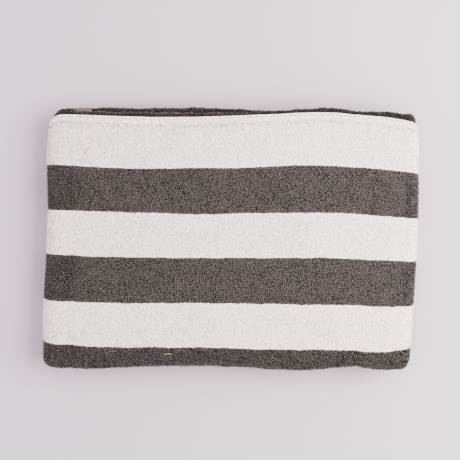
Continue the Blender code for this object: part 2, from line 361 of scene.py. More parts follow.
CREASES = (
    # dents and ridges of the top layer: place along it from the left turn, from the free hem,
    # height, reach along, reach across (mm), slant
    (10.0, 130.0, -1.00, 12.0, 200.0, 0.00),
    (7.9, 72.0, -0.80, 1.3, 34.0, 0.00),
    (8.6, 200.0, -0.60, 1.6, 60.0, -0.02),
    (12.0, 60.0, 0.25, 4.0, 80.0, 0.02),
    (355.5, 84.0, -1.10, 1.3, 26.0, 0.01),
    (350.0, 150.0, -0.25, 3.0, 120.0, 0.01),
    (22.5, 33.0, -1.40, 1.5, 8.0, -0.50),
    (4.5, 16.0, -0.80, 1.3, 6.0, 0.10),
    (9.5, 20.0, -0.70, 1.3, 6.0, -0.10),
    (14.5, 41.0, -0.70, 1.4, 9.0, 0.05),
    (49.0, 36.0, -0.70, 1.4, 9.0, 0.05),
    (232.0, 20.0, 0.55, 14.0, 22.0, 0.30),
    (96.0, 24.0, -0.45, 10.0, 26.0, -0.25),
    (160.0, 70.0, 0.60, 38.0, 24.0, 0.20),
    (280.0, 34.0, -0.45, 12.0, 30.0, 0.35),
    (60.0, 170.0, -0.55, 42.0, 34.0, 0.10),
    (250.0, 150.0, 0.60, 55.0, 40.0, -0.15),
    (140.0, 225.0, 0.50, 60.0, 26.0, 0.05),
    (190.0, 31.0, -0.90, 2.5, 16.0, 0.57),
    (53.0, 30.0, -0.70, 2.0, 26.0, 0.00),
    (65.0, 28.0, 0.40, 4.0, 24.0, 0.00),
)
PUCKERS = (
    # beside the sewing of the free hem: height, length of the wave (mm), phase
    (0.16, 15.0, 0.3),
    (0.11, 9.3, 1.9),
    (0.13, 27.0, 4.2),
)
PUCKER_REACH = 20 * MM
DEEPEST_DENT = 1.7 * MM


def relief(along, across):
    """How far the cloth of the top layer stands over its even place."""
    place = along - RUN_STARTS["A"]
    total = np.zeros(np.broadcast(along, across).shape)
    for x, y, height, reach_x, reach_y, slant in CREASES:
        off_y = (across - y * MM) / (reach_y * MM)
        off_x = (place - x * MM - slant * (across - y * MM)) / (reach_x * MM)
        total = total + height * MM * np.exp(-(off_x**2) - off_y**2)
    near = np.exp(-((across / PUCKER_REACH) ** 2))
    for height, length, phase in PUCKERS:
        total = total + near * height * MM * np.sin(math.tau * place / (length * MM) + phase)
    number, share = run_at(along)  # run A, and the parts of the folds beside it that are on top
    on_top = np.choose(number, (0, ramp(0.6, 1, share), 1, ramp(0.4, 0, share), 0, 0, 0))
    total = np.maximum(total, -DEEPEST_DENT)
    return total * on_top * (1 - ramp(FLAP_END - 8 * MM, FLAP_END, across))


def settle(x, y, z):
    """Leans the end folds and crowns the stack."""
    share = (x - LEFT_TURN_X) / RUN
    left, right = (
        smooth([(row[0] * MM, row[column] * MM) for row in END_LINES], y) for column in (1, 2)
    )
    rim = np.maximum(abs(x) / STACK_HALF[0], abs(y) / STACK_HALF[1])
    height = 1 - EDGE_DROOP * np.minimum(rim, DROOP_REACH) ** DROOP_POWER
    for size, waves_x, waves_y, phase in TOP_WAVES:
        turn = math.pi * (waves_x * x / STACK_HALF[0] + waves_y * y / STACK_HALF[1])
        height = height + size * np.sin(turn + phase)
    return np.stack((x + left + (right - left) * share, y, z * height), axis=-1)


def folded(along, across, lift):
    """Where points of the flat cloth, lifted off its middle, lie when it is folded."""
    along, across, lift = np.broadcast_arrays(along, across, lift)
    dented = np.where(lift > 0, relief(along, across), 0)  # the soft outer face
    y, height = fold_in_three(across, lift + dented, *edges_at(along))
    x, z = fold_in_half_twice(along, height)
    return settle(x, y + corner_pull(along, across), z)


# The half thickness of the cloth. Under loops that are modelled it is less, and at a hem,
# where there are none, it follows the turned edge and the row of sewing.
FULL_HALF = 1.25 * MM
LOOPED_HALF = 0.75 * MM
HEM_PROFILE = (
    # distance from the edge, half thickness (mm)
    (0.0, 0.35),
    (0.5, 0.95),
    (1.1, 1.10),
    (1.8, 0.85),
    (3.4, 0.84),
    (5.4, 0.90),
    (6.4, 0.80),
    (7.4, 0.76),
    (8.6, 0.80),
    (10.0, 1.25),
)
PILE_ZONES = (
    # loops are modelled from and to this distance from the free hem, and on these runs
    (SIDE_HEM, FLAP_END, ("left_outer", "A", "right")),
    (FLAP_END, FRONT_END + 1 * MM, tuple(RUN_LENGTHS)),
    (PANEL_END - 4 * MM, BACK_END - 0.3 * MM, tuple(RUN_LENGTHS)),
    (BACK_END - 0.3 * MM, BACK_END + 3.5 * MM, ("A", "right")),
)
PILE_FADE = 3 * MM  # over which the cloth takes its full thickness past the loops


def in_runs(along, runs):
    """Whether each place along the cloth is in one of those runs."""
    return np.isin(run_at(along)[0], [list(RUN_LENGTHS).index(run) for run in runs])


def looped(along, across):
    """1 where loops are modelled on the outer face, 0 where they aren't."""
    most = np.zeros(np.broadcast(along, across).shape)
    for start, end, runs in PILE_ZONES:
        inside = ramp(start - PILE_FADE, start, across) * ramp(end + PILE_FADE, end, across)
        most = np.maximum(most, inside * in_runs(along, runs))
    return most


def half_thickness(along, across):
    """Half of what the cloth measures there, hems included, where no loops are modelled."""
    side = np.minimum(across, CLOTH_WIDTH - across) / MM
    end = np.minimum(along, CLOTH_LENGTH - along) / MM * SIDE_HEM / END_HEM
    return smooth(HEM_PROFILE, np.minimum(side, end)) * MM


def places(*stretches):
    """Grid lines: each stretch is its start, its end and how far apart its lines are."""
    lines = [
        np.linspace(start, end, max(round((end - start) / apart), 1), endpoint=False)
        for start, end, apart in stretches
    ]
    return np.concatenate([*lines, [stretches[-1][1]]])


STEP = 5.2 * MM  # between grid lines that show
WIDE_STEP = 8.5 * MM  # between those that don't
RIM, RIM_STEP = 1.3 * MM, 0.65 * MM  # the rounded edge of a hem
BEND, BEND_STEP = 16 * MM, 1.8 * MM  # beside an end fold
PAST_END_HEM, PAST_SIDE_HEM = END_HEM + 3 * MM, SIDE_HEM + 2 * MM
run_ends = {run: RUN_STARTS[run] + RUN_LENGTHS[run] for run in RUN_LENGTHS}
grid_along = places(
    (0, RIM, RIM_STEP),
    (RIM, PAST_END_HEM, 3 * MM),
    (PAST_END_HEM, run_ends["D"], WIDE_STEP),
    (RUN_STARTS["left_outer"], run_ends["left_outer"], 1.9 * MM),
    (RUN_STARTS["A"], RUN_STARTS["A"] + BEND, BEND_STEP),
    (RUN_STARTS["A"] + BEND, run_ends["A"] - BEND, STEP),
    (run_ends["A"] - BEND, run_ends["A"], BEND_STEP),
    (RUN_STARTS["right"], run_ends["right"], 0.6 * MM),
    (RUN_STARTS["B"], run_ends["B"], WIDE_STEP),
    (RUN_STARTS["left_inner"], run_ends["left_inner"], 2.2 * MM),
    (RUN_STARTS["C"], CLOTH_LENGTH - PAST_END_HEM, WIDE_STEP),
    (CLOTH_LENGTH - PAST_END_HEM, CLOTH_LENGTH - RIM, 3 * MM),
    (CLOTH_LENGTH - RIM, CLOTH_LENGTH, RIM_STEP),
)
grid_across = places(
    (0, RIM, RIM_STEP),
    (RIM, PAST_SIDE_HEM, 0.85 * MM),
    (PAST_SIDE_HEM, FLAP_END, STEP),
    (FLAP_END, FRONT_END, 0.75 * MM),
    (FRONT_END, PANEL_END, WIDE_STEP),
    (PANEL_END, BACK_END, 0.5 * MM),
    (BACK_END, CLOTH_WIDTH - PAST_SIDE_HEM, WIDE_STEP),
    (CLOTH_WIDTH - PAST_SIDE_HEM, CLOTH_WIDTH - RIM, 1.6 * MM),
    (CLOTH_WIDTH - RIM, CLOTH_WIDTH, RIM_STEP),
)


def flat_sheet(name, squares_x, squares_y, thickness):
    """A closed thick sheet of squares, 1 m wide each way, and where its corners are."""
    bpy.ops.object.select_all(action="DESELECT")
    bpy.ops.mesh.primitive_grid_add(x_subdivisions=squares_x, y_subdivisions=squares_y, size=1)
    sheet = bpy.context.object
    sheet.name = name
    thick = sheet.modifiers.new("thickness", "SOLIDIFY")
    thick.thickness = thickness
    thick.offset = 0
    thick.use_flip_normals = True
    bpy.ops.object.modifier_apply(modifier=thick.name)
    corners = np.empty(len(sheet.data.vertices) * 3)
    sheet.data.vertices.foreach_get("co", corners)
    return sheet, corners.reshape(-1, 3)


def set_values(mesh, name, values):
    """Gives each point of a mesh a number that its material reads."""
    mesh.attributes.new(name, "FLOAT", "POINT").data.foreach_set("value", values)


cloth, corners = flat_sheet("towel_cloth", len(grid_along) - 1, len(grid_across) - 1, 1)
along = grid_along[np.round((corners[:, 0] + 0.5) * (len(grid_along) - 1)).astype(int)]
across = grid_across[np.round((corners[:, 1] + 0.5) * (len(grid_across) - 1)).astype(int)]
outer = corners[:, 2] > 0
pile_here = looped(along, across) * outer
half = half_thickness(along, across)
half = np.minimum(half, FULL_HALF + (LOOPED_HALF - FULL_HALF) * pile_here)
points = folded(along, across, np.where(outer, half, -half))

# The folded cloth has its middle over the middle of the solid that it stands for.
low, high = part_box("towel")
middle = (points.min(0) + points.max(0)) / 2
SHIFT = np.array([(low.x + high.x) / 2 - middle[0], (low.y + high.y) / 2 - middle[1], 0])
cloth.data.vertices.foreach_set("co", (points + SHIFT).ravel())

# The stripes run true to the weave, but the cloth has slid round the front fold, most at the
# left, and has stretched a little here and there, so the edges of its stripes wander.
DRIFT = (
    # share of run A from the left turn, how far the edge of each stripe lies to the back, from
    # the one next to the free hem to the one next to the front fold (mm)
    (-0.0600, 6.4, 5.0, 6.2, 6.0, 9.8),
    (-0.0350, 5.1, 4.6, 5.7, 5.1, 8.3),
    (0.0000, 4.0, 4.1, 5.4, 4.5, 7.8),
    (0.0625, 3.1, 3.8, 4.5, 4.0, 6.6),
    (0.1250, 2.4, 3.9, 4.3, 3.7, 5.4),
    (0.1875, 1.8, 2.9, 3.4, 2.3, 3.6),
    (0.2500, 1.8, 2.4, 2.8, 1.5, 2.7),
    (0.3125, 1.9, 1.4, 2.1, 1.4, 1.9),
    (0.3750, 2.3, 0.2, 1.7, 1.1, 1.4),
    (0.4375, 1.5, -0.1, 1.1, 0.4, 0.9),
    (0.5000, 0.9, 0.3, 0.8, -0.3, -0.4),
    (0.5625, 1.5, 0.6, 1.2, 0.5, 0.2),
    (0.6250, 2.4, 0.8, 1.9, 1.6, 1.8),
    (0.6875, 2.8, 1.2, 3.0, 2.4, 3.7),
    (0.7500, 1.8, 0.7, 2.4, 1.5, 3.0),
    (0.8125, 1.2, 0.4, 1.1, 0.3, 0.9),
    (0.8750, 1.5, -0.4, 0.3, -0.6, -0.8),
    (0.9375, 1.8, 0.4, 2.4, 1.1, 1.3),
    (1.0000, 2.3, 0.9, 2.5, 2.0, 3.2),
)
DRIFT_FADES = (FRONT_END, FRONT_END + 60 * MM)
DRIFT_COMES, DRIFT_GOES = (-0.35, -0.12), (1.0, 1.3)  # shares of run A
BACK_DRIFT = 9 * MM  # round the back fold, which a dark stripe covers
BACK_DRIFT_REACH = 60 * MM


def woven_at(along, across):
    """How far across the cloth as woven a place is, for its stripes."""
    share = (along - RUN_STARTS["A"]) / RUN_LENGTHS["A"]
    on_top = ramp(*DRIFT_COMES, share) * (1 - ramp(*DRIFT_GOES, share))
    on_top = on_top * (1 - ramp(*DRIFT_FADES, across))
    back = ramp(PANEL_END - BACK_DRIFT_REACH, PANEL_END - BACK_DRIFT, across)
    back = back * ramp(BACK_END + BACK_DRIFT_REACH, BACK_END + BACK_DRIFT, across)
    woven = across + BACK_DRIFT * back
    edges = [SIDE_HEM, *(EDGE_STRIPE + number * STRIPE for number in range(5))]
    for number in range(1, 6):
        rising = (across - edges[number - 1]) / (edges[number] - edges[number - 1])
        falling = (edges[number] + STRIPE - across) / STRIPE if number < 5 else 1
        near = np.clip(np.minimum(rising, falling), 0, 1)
        drift = smooth([(row[0], row[number]) for row in DRIFT], share) * MM
        woven = woven + drift * near * on_top
    return woven


corner_of = np.empty(len(cloth.data.loops), int)
cloth.data.loops.foreach_get("vertex_index", corner_of)
woven = np.stack((along, woven_at(along, across)), axis=-1)[corner_of]
cloth.data.uv_layers[0].name = "weave"
cloth.data.uv_layers["weave"].data.foreach_set("uv", woven.ravel())

# The map that its colours are baked on has the two faces of the cloth below and above, and a
# narrow strip at the top for each of the four edges.
FACE_SHARE = 0.48
EDGE_SHARE = 0.01
face_corners = corner_of.reshape(-1, 4)
long_share, wide_share = along / CLOTH_LENGTH, across / CLOTH_WIDTH
baked = np.stack((long_share, (wide_share + outer) * FACE_SHARE), axis=-1)[face_corners]
on_rim = outer[face_corners].any(axis=1) & ~outer[face_corners].all(axis=1)
rims = [(place, end) for place in (wide_share, long_share) for end in (0, 1)]
for strip, (place, end) in enumerate(rims):
    run_share = long_share if place is wide_share else wide_share
    here = on_rim & (place[face_corners] == end).all(axis=1)
    chosen = face_corners[here]
    height = 2 * FACE_SHARE + EDGE_SHARE * (strip + 0.1 + 0.8 * outer[chosen])
    baked[here] = np.stack((run_share[chosen], height), axis=-1)
cloth.data.uv_layers.new(name="OFBake").data.foreach_set("uv", baked.ravel())
cloth.data.uv_layers["weave"].active_render = True
set_values(cloth.data, "looped", pile_here)
cloth.data.shade_smooth()

# ---- The stripes and the yarn ------------------------------------------------
# Yarn-dyed cotton in two colours, a clean white and a warm dark grey, in stripes of one width
# but for the edge stripes, which are wider by the hem.
WHITE = (0.64, 0.580, 0.578, 1)
DARK = (0.102, 0.082, 0.078, 1)


def new_node(tree, kind, values, **settings):
    """The outputs of a new node whose inputs are fed by other outputs or by plain values."""
    node = tree.nodes.new("ShaderNode" + kind)
    for setting, value in settings.items():
        setattr(node, setting, value)
    for title, value in values.items():
        if isinstance(value, bpy.types.NodeSocket):
            tree.links.new(value, node.inputs[title])
        else:
            node.inputs[title].default_value = value
    return node.outputs


def own_values(tree, *names):
    """The numbers that the points of a mesh have under those names."""
    return [new_node(tree, "Attribute", {}, attribute_name=name)["Fac"] for name in names]


def math_node(tree, operation, *values):
    """What a Math node makes of outputs or numbers."""
    return new_node(tree, "Math", dict(enumerate(values)), operation=operation)[0]


def mix_colours(tree, share, first, second, blend="MIX"):
    """One colour mixed or blended with another."""
    fed = {0: share, 6: first, 7: second}
    return new_node(tree, "Mix", fed, data_type="RGBA", blend_type=blend)[2]


def shaded(tree, colour, share):
    """A colour of which a share is left, or that is made lighter by a share over 1."""
    grey = new_node(tree, "CombineColor", {0: share, 1: share, 2: share})[0]
    return mix_colours(tree, 1.0, colour, grey, "MULTIPLY")


def add_bump(tree, shader, height, distance, strength=1.0):
    """Lets a height bend the light on a surface."""
    fed = {"Height": height, "Distance": distance, "Strength": strength}
    tree.links.new(new_node(tree, "Bump", fed)[0], shader.inputs["Normal"])


# The yarn group varies a colour as spun cotton does, and gives the fine twist of its strands.
STRANDS = 2600.0  # a metre
CLOUDS, CLOUD_SHARE = 38.0, 0.6
MEAN_TONE = 1.3  # what tone, strands and clouds come to together where a colour is left as it is
yarn = bpy.data.node_groups.new("yarn", "ShaderNodeTree")
for title, kind, way in (
    ("Colour", "Color", "INPUT"),
    ("Place", "Vector", "INPUT"),
    ("Tone", "Float", "INPUT"),
    ("Spread", "Float", "INPUT"),
    ("Colour", "Color", "OUTPUT"),
    ("Height", "Float", "OUTPUT"),
):
    yarn.interface.new_socket(title, in_out=way, socket_type="NodeSocket" + kind)
given = yarn.nodes.new("NodeGroupInput").outputs
made = yarn.nodes.new("NodeGroupOutput").inputs
strands, clouds = (
    new_node(yarn, "TexNoise", {"Vector": given["Place"], "Scale": scale, "Detail": 3.0})["Fac"]
    for scale in (STRANDS, CLOUDS)
)
tone = math_node(yarn, "ADD", given["Tone"], strands)
tone = math_node(yarn, "ADD", tone, math_node(yarn, "MULTIPLY", clouds, CLOUD_SHARE))
tone = math_node(yarn, "SUBTRACT", tone, MEAN_TONE)
tone = math_node(yarn, "MULTIPLY_ADD", tone, given["Spread"], 1.0)
yarn.links.new(shaded(yarn, given["Colour"], tone), made["Colour"])
yarn.links.new(strands, made["Height"])

# The woven face: stripes, the plain weave of the hems, and the look of loops on the hidden
# faces, where none are modelled. Painted shade darkens the ground between loops, its pits and
# the grooves of the hems, and a painted highlight lightens the rolled edge.
PICK, PICK_HEIGHT = 0.55 * MM, 0.10  # of the threads of a hem
LOOP_PITCH = 2.15 * MM
FRAY = 1 * MM  # how far loops of one stripe reach over the edge of the next
GROUND_WHITE = (0.755, 0.670, 0.674, 1)  # between loops, painted with the shade that falls there
GROUND_DARK = (0.064, 0.052, 0.0495, 1)
PIT_PITCH = 2.3 * MM
PIT_WHITE, PIT_DARK = 0.78, 0.04  # painted shade in the pits: what is left of the ground's colour where a pit is deepest
PIT_FLOOR, PIT_RIM = 0.20, 0.50  # shares of the pitch from its middle
CALM_SPOTS = {"From Min": 0.42, "From Max": 0.68, "To Max": 0.6}  # where the painted shade of the pits is shallow
SEAM_FROM_EDGE = 7.1 * MM  # the sewing of the hem, which draws the cloth in
HEM_GROOVE_SHADES = (
    # painted shade in the grooves of the hem: from its edge, half as wide, by how much
    (SEAM_FROM_EDGE, 2.6 * MM, 0.10),
    (2.3 * MM, 1.3 * MM, 0.22),
)
DARKEST_SEEN = 0.45  # painted shade between loops that aren't modelled: what is left of the colour there
SLUBS = 2.0  # how much the hem's colour varies with its uneven yarn
LIP_WIDTH, LIP_HIGHLIGHT = 1.4 * MM, 0.45  # of the painted highlight on the rolled edge, where it turns up to the light
terry, tree, shader = new_material(
    "terry cloth", {"Roughness": 0.95, "Sheen Weight": 0.15, "Sheen Roughness": 0.5}
)
flat = new_node(tree, "UVMap", {}, uv_map="weave")[0]
split = new_node(tree, "SeparateXYZ", {0: flat})
mask, own_tone = own_values(tree, "looped", "tone")
frayed = new_node(tree, "TexNoise", {"Vector": flat, "Scale": 1 / LOOP_PITCH})["Fac"]
wander = math_node(tree, "MULTIPLY_ADD", frayed, 2 * FRAY, -FRAY)
from_edge = math_node(tree, "ADD", split["Y"], wander)
from_edge = math_node(tree, "SUBTRACT", from_edge, EDGE_STRIPE)
number = math_node(tree, "FLOOR", math_node(tree, "DIVIDE", from_edge, STRIPE))
number = math_node(tree, "MAXIMUM", number, -1.0)
odd = math_node(tree, "FLOORED_MODULO", number, 2.0)
is_dark = math_node(tree, "SUBTRACT", 1.0, odd)
loops_seen = new_node(
    tree,
    "TexVoronoi",
    {"Vector": flat, "Scale": 1 / LOOP_PITCH, "Smoothness": 0.4},
    feature="SMOOTH_F1",
    voronoi_dimensions="2D",
)["Distance"]
bulge = math_node(tree, "SUBTRACT", 1.0, math_node(tree, "MULTIPLY", loops_seen, 1.1))
gaps_seen = new_node(
    tree, "TexVoronoi", {"Vector": flat, "Scale": 1 / PIT_PITCH}, voronoi_dimensions="2D"
)["Distance"]
calm = new_node(tree, "TexNoise", {"Vector": flat, "Scale": 75.0})["Fac"]
calm = new_node(tree, "MapRange", {"Value": calm, **CALM_SPOTS})["Result"]
pit_shade = math_node(tree, "MULTIPLY_ADD", is_dark, PIT_DARK - PIT_WHITE, PIT_WHITE)
pit_shade = math_node(tree, "MAXIMUM", pit_shade, calm)
fed = {"Value": gaps_seen, "From Min": PIT_FLOOR, "From Max": PIT_RIM, "To Min": pit_shade}
painted_shade = new_node(tree, "MapRange", fed)["Result"]
ground = shaded(tree, mix_colours(tree, is_dark, GROUND_WHITE, GROUND_DARK), painted_shade)
colour = mix_colours(tree, mask, mix_colours(tree, is_dark, WHITE, DARK), ground)
fed = {"Colour": colour, "Place": flat, "Tone": own_tone, "Spread": 0.3}
spun = new_node(tree, "Group", fed, node_tree=yarn)["Colour"]

to_side, to_end = (
    math_node(tree, "MINIMUM", split[axis], math_node(tree, "SUBTRACT", size, split[axis]))
    for axis, size in (("Y", CLOTH_WIDTH), ("X", CLOTH_LENGTH))
)
hem = math_node(
    tree,
    "MAXIMUM",
    math_node(tree, "LESS_THAN", to_side, SIDE_HEM),
    math_node(tree, "LESS_THAN", to_end, END_HEM),
)
threads = [
    math_node(tree, "SINE", math_node(tree, "MULTIPLY", split[axis], math.pi / PICK))
    for axis in ("X", "Y")
]
weave = math_node(tree, "MULTIPLY", math_node(tree, "MULTIPLY", *threads), PICK_HEIGHT)
plain = math_node(tree, "MAXIMUM", hem, mask)
height = math_node(tree, "MULTIPLY", bulge, math_node(tree, "SUBTRACT", 1.0, plain))
height = math_node(tree, "ADD", height, math_node(tree, "MULTIPLY", weave, plain))
# Painted shade between the loops that aren't modelled, a painted highlight on the rolled edge,
# painted shade in the grooves of the hem, and the uneven yarn of the hem.
light_left = math_node(tree, "MULTIPLY_ADD", bulge, 1 - DARKEST_SEEN, DARKEST_SEEN)
light_left = math_node(tree, "MAXIMUM", light_left, plain)
lip_highlight = math_node(tree, "SUBTRACT", 1.0, math_node(tree, "DIVIDE", to_side, LIP_WIDTH))
lip_highlight = math_node(tree, "MAXIMUM", math_node(tree, "MULTIPLY", lip_highlight, LIP_HIGHLIGHT), 0.0)
light_left = math_node(tree, "ADD", light_left, lip_highlight)
for middle, width, darker in HEM_GROOVE_SHADES:
    off_groove = math_node(tree, "ABSOLUTE", math_node(tree, "SUBTRACT", split["Y"], middle))
    groove_shade = math_node(tree, "SUBTRACT", 1.0, math_node(tree, "DIVIDE", off_groove, width))
    groove_shade = math_node(tree, "MULTIPLY", math_node(tree, "MAXIMUM", groove_shade, 0.0), darker)
    light_left = math_node(tree, "SUBTRACT", light_left, groove_shade)
stretched = new_node(tree, "Mapping", {"Vector": flat, "Scale": (1 / MM, 0.4 / MM, 1)})[0]
slubs = new_node(tree, "TexNoise", {"Vector": stretched, "Scale": 0.8})["Fac"]
uneven = math_node(tree, "MULTIPLY_ADD", slubs, SLUBS, -0.5 * SLUBS)
light_left = math_node(tree, "MULTIPLY_ADD", uneven, hem, light_left)
tree.links.new(shaded(tree, spun, light_left), shader.inputs["Base Color"])
add_bump(tree, shader, height, 0.8 * MM, 0.8)
cloth.data.materials.clear()
cloth.data.materials.append(terry)
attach(cloth, "root")
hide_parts("towel")

# ---- The pile ----------------------------------------------------------------
# Uncut loops of soft spun cotton stand on the cloth in rows and lean every way. Each stripe is
# one piece. Deep in the folds, and where the cloth lies on the surface, there are none.
LOOPS = {
    # yarn radius, half width, least and most rise of the yarn's middle over the cloth, and how
    # far they turn, most of them, from straight across the cloth
    "white": (0.40 * MM, 1.02 * MM, 0.34 * MM, 0.72 * MM, 0.5),
    "dark": (0.50 * MM, 0.66 * MM, 0.40 * MM, 0.80 * MM, 1.6),
}
ROWS_A_STRIPE = 23
LOOP_SPREAD = 0.2  # share that a loop's sizes differ by
LOOP_LEAN = 0.5 * MM
LOOP_JITTER = 0.26  # share of the pitch
BETWEEN_ROWS = 1 * MM  # where a second set of rows makes the back folds dense
EDGE_TURN = 0.35  # how far loops turn from along the stripe at its edge
LOOP_RINGS, LOOP_SIDES = 4, 3
SHAGGY = 0.45  # the loops round the back fold stand up to that much higher
FOOT_DEPTH = 0.3 * MM  # in the cloth
LOWEST_LOOP = 0.15 * MM  # over the surface
WHITE_LOOPS = (0.765, 0.679, 0.683, 1)
DARK_LOOPS = (0.140, 0.1135, 0.1085, 1)
WHITE_SPREAD, DARK_SPREAD = 0.22, 0.76  # of their colours
LOOP_TONE = 0.6
TONE_SPREAD = (0.12, 0.34)  # where the pile is close, and where it is open
SHADED_LOOP_SHARE = (0.05, 0.22)  # of the loops there that are painted darker, in shade, though they lie no deeper
SHADED_LOOP_TONE = -0.75
WHITE_RISES = (1.15, 0.45)  # how high white loops stand, at the left and at the right
WHITE_VARIES = (1.8, 0.3)  # how much their tones vary there: at random, and more at the left as painted shading of the pile
FRONT_VARIES = 0.6  # how much more those of dark loops vary at the front fold
# Painted light and shade on the dark loops: darker on the folds, round the back fold, between it
# and the top layer, at the right end of the top back fold and in dents of the top layer; lighter
# on the crest of the top back fold and on the front folds of the lower strips.
TOP_TONE = -0.05
FOLD_SHADE_TONE = -0.36  # painted shade on dark loops on a fold
LEFT_FOLD_SHARE = 0.9  # share of the painted fold shade on the left fold
BACK_SHADE_TONE = -0.72
TUCKED_SHADE_TONE = -1.15  # painted shade between the back fold and the top layer
CREST_HIGHLIGHT_TONE = 0.95  # painted highlight on those on the crest of the top back fold, which catch the light
CREST_WIDTH = 1.1 * MM
RIGHT_END_SHADE_TONE = -0.25
LOWER_FRONT_LIGHT_TONE = 0.25
TROUGH_SHADE_TONE = 0.12 / MM
FRONT_SHADE = (FLAP_END - 30 * MM, FLAP_END - 8 * MM)  # from where to where a tone and the painted fold shade change
LEFT_SHADE = (RUN_STARTS["A"] + 30 * MM, RUN_STARTS["A"] - 4 * MM)
RIGHT_SHADE = (run_ends["A"] - 14 * MM, run_ends["A"] + 4 * MM)
CREST_COMES = (RUN_STARTS["A"] + 5 * MM, RUN_STARTS["A"] + 35 * MM)
CREST_GOES = (run_ends["A"] - 175 * MM, run_ends["A"] - 140 * MM)
SEAM_SHADE_TONE = -2.1  # painted shade on the loops beside the seam
SEAM_SHADE_FROM_HEM, SEAM_SHADE_WIDTH = 9.9 * MM, 1.4 * MM
GROUND_LIGHT_SHADE_GAIN = 2.2  # painted light and shade on the cloth under the dark loops, stronger than on them
MOST_DRIFT = 12 * MM
LABEL_LEFT_X = -167.4 * MM  # the label presses the loops under it flat, so none are there
LABEL_LENGTH = 19.6 * MM
PATCHES = (
    # waves along and across by which the pile is more open in some places (mm), phase
    (23.0, 61.0, 0.3),
    (-31.0, 19.0, 1.9),
    (13.0, -27.0, 4.2),
    (17.0, 15.0, 2.5),
    (9.0, -33.0, 5.6),
)
draw = np.random.default_rng(20)


def between(ends, share):
    """A value that goes from one to the other of two."""
    return ends[0] + (ends[1] - ends[0]) * share


def stretch_at(run, height):
    """How much longer a run of the strip is at a height than the cloth's own length."""
    radii = {"left_outer": OUTER_RADIUS, "right": RIGHT_RADIUS, "left_inner": -INNER_RADIUS}
    return 1 + height / radii[run] if run in radii else 1.0


def row_stretch(across):
    """How much longer the face is than the cloth's own width, and the face's height."""
    _, height = fold_in_three(np.array(across), LOOPED_HALF, 0, 0, 0)
    if FLAP_END < across < FRONT_END:
        return 1 + LOOPED_HALF / LAYER_PITCH, float(height)
    if PANEL_END < across < BACK_END:
        return 1 + 2 * LOOPED_HALF / LAYER_PITCH, float(height)
    return 1.0, float(height)


def painted_light_and_shade(along, across):
    """How much painted shade darkens the dark pile where it is folded, or deep down, and painted
    light lightens it on the back fold's crest and the lower fronts.
    """
    on_top_strip = in_runs(along, ("left_outer", "A", "right"))
    on_fold = np.maximum(LEFT_FOLD_SHARE * ramp(*LEFT_SHADE, along), ramp(*FRONT_SHADE, across))
    on_fold = np.maximum(on_fold, ramp(*RIGHT_SHADE, along))
    at_front = (across > FLAP_END) & (across < PANEL_END - MOST_DRIFT) & ~on_top_strip
    at_back = across > PANEL_END - MOST_DRIFT
    off_crest = (across - (PANEL_END + BACK_END) / 2) / CREST_WIDTH
    crest = CREST_HIGHLIGHT_TONE * np.exp(-(off_crest**2)) * ramp(*CREST_COMES, along)
    crest = between((crest, RIGHT_END_SHADE_TONE), ramp(*CREST_GOES, along))
    shift = np.select(
        (across > BACK_END, at_back & on_top_strip, at_back, at_front),
        (TUCKED_SHADE_TONE, BACK_SHADE_TONE + crest, BACK_SHADE_TONE, LOWER_FRONT_LIGHT_TONE),
        FOLD_SHADE_TONE * on_fold + TOP_TONE,
    )
    return shift + np.minimum(relief(along, across), 0) * TROUGH_SHADE_TONE


def across_of(row, along):
    """Where across the cloth a row as woven lies, at places along it."""
    across = np.full(len(along), row)
    for _ in range(6):
        across = across - (woven_at(along, across) - row)
    return across


# Rows of loops run true to the stripes, with the same number of them in each.
stripe_edges = np.concatenate(([SIDE_HEM], np.arange(EDGE_STRIPE, CLOTH_WIDTH, STRIPE)))
rows_woven = [
    start + (end - start) * (row + 0.5) / ROWS_A_STRIPE
    for start, end in zip(stripe_edges[:-1], stripe_edges[1:])
    for row in range(ROWS_A_STRIPE)
]
rows = []
for start, end, runs in PILE_ZONES:
    closer = [row + BETWEEN_ROWS for row in rows_woven] if start > FRONT_END else []
    for row in rows_woven + closer:
        if not start < row < end + MOST_DRIFT:
            continue
        wider, height_here = row_stretch(min(row, end))
        for run in runs:
            longer = stretch_at(run, height_here)
            count = max(round(RUN_LENGTHS[run] * longer / LOOP_PITCH), 1)
            at = RUN_STARTS[run] + RUN_LENGTHS[run] * (np.arange(count) + draw.random()) / count
            at = at + draw.uniform(-1, 1, count) * LOOP_JITTER * LOOP_PITCH / longer
            to = across_of(row, at) + draw.uniform(-1, 1, count) * LOOP_JITTER * LOOP_PITCH
            in_zone = (to > start) & (to < end)
            columns = (at, to, *(np.full(count, value) for value in (longer, wider, row)))
            rows.append(np.stack(columns, -1)[in_zone])
root_along, root_across, lengthened, widened, root_row = np.concatenate(rows).T
count = len(root_row)

arc = np.linspace(0, math.pi, LOOP_RINGS)
round_yarn = np.arange(LOOP_SIDES) * math.tau / LOOP_SIDES
stripe_of = np.maximum(np.floor((root_row - EDGE_STRIPE) / STRIPE), -1).astype(int)
is_dark_loop = stripe_of % 2 == 0
sizes = np.array([LOOPS["dark"], LOOPS["white"]])[stripe_of % 2][:, :, None, None]
differ = 1 + LOOP_SPREAD * draw.uniform(-1, 1, (2, count))[:, :, None, None]
thin = sizes[:, 0] * differ[0]
half_width = sizes[:, 1] * differ[1]
from_left = np.clip((root_along - RUN_STARTS["A"]) / RUN, 0, 1)
taller = np.where(is_dark_loop, 1.0, between(WHITE_RISES, from_left))
rise = between((sizes[:, 2], sizes[:, 3]), (draw.random(count) * taller)[:, None, None])
shaggy = (root_across > PANEL_END - MOST_DRIFT)[:, None, None]
rise = rise * (1 + SHAGGY * shaggy * draw.random(count)[:, None, None])
lean = (draw.uniform(-1, 1, count) * LOOP_LEAN)[:, None, None]
off_edge = abs((root_row - EDGE_STRIPE + STRIPE / 2) % STRIPE - STRIPE / 2)
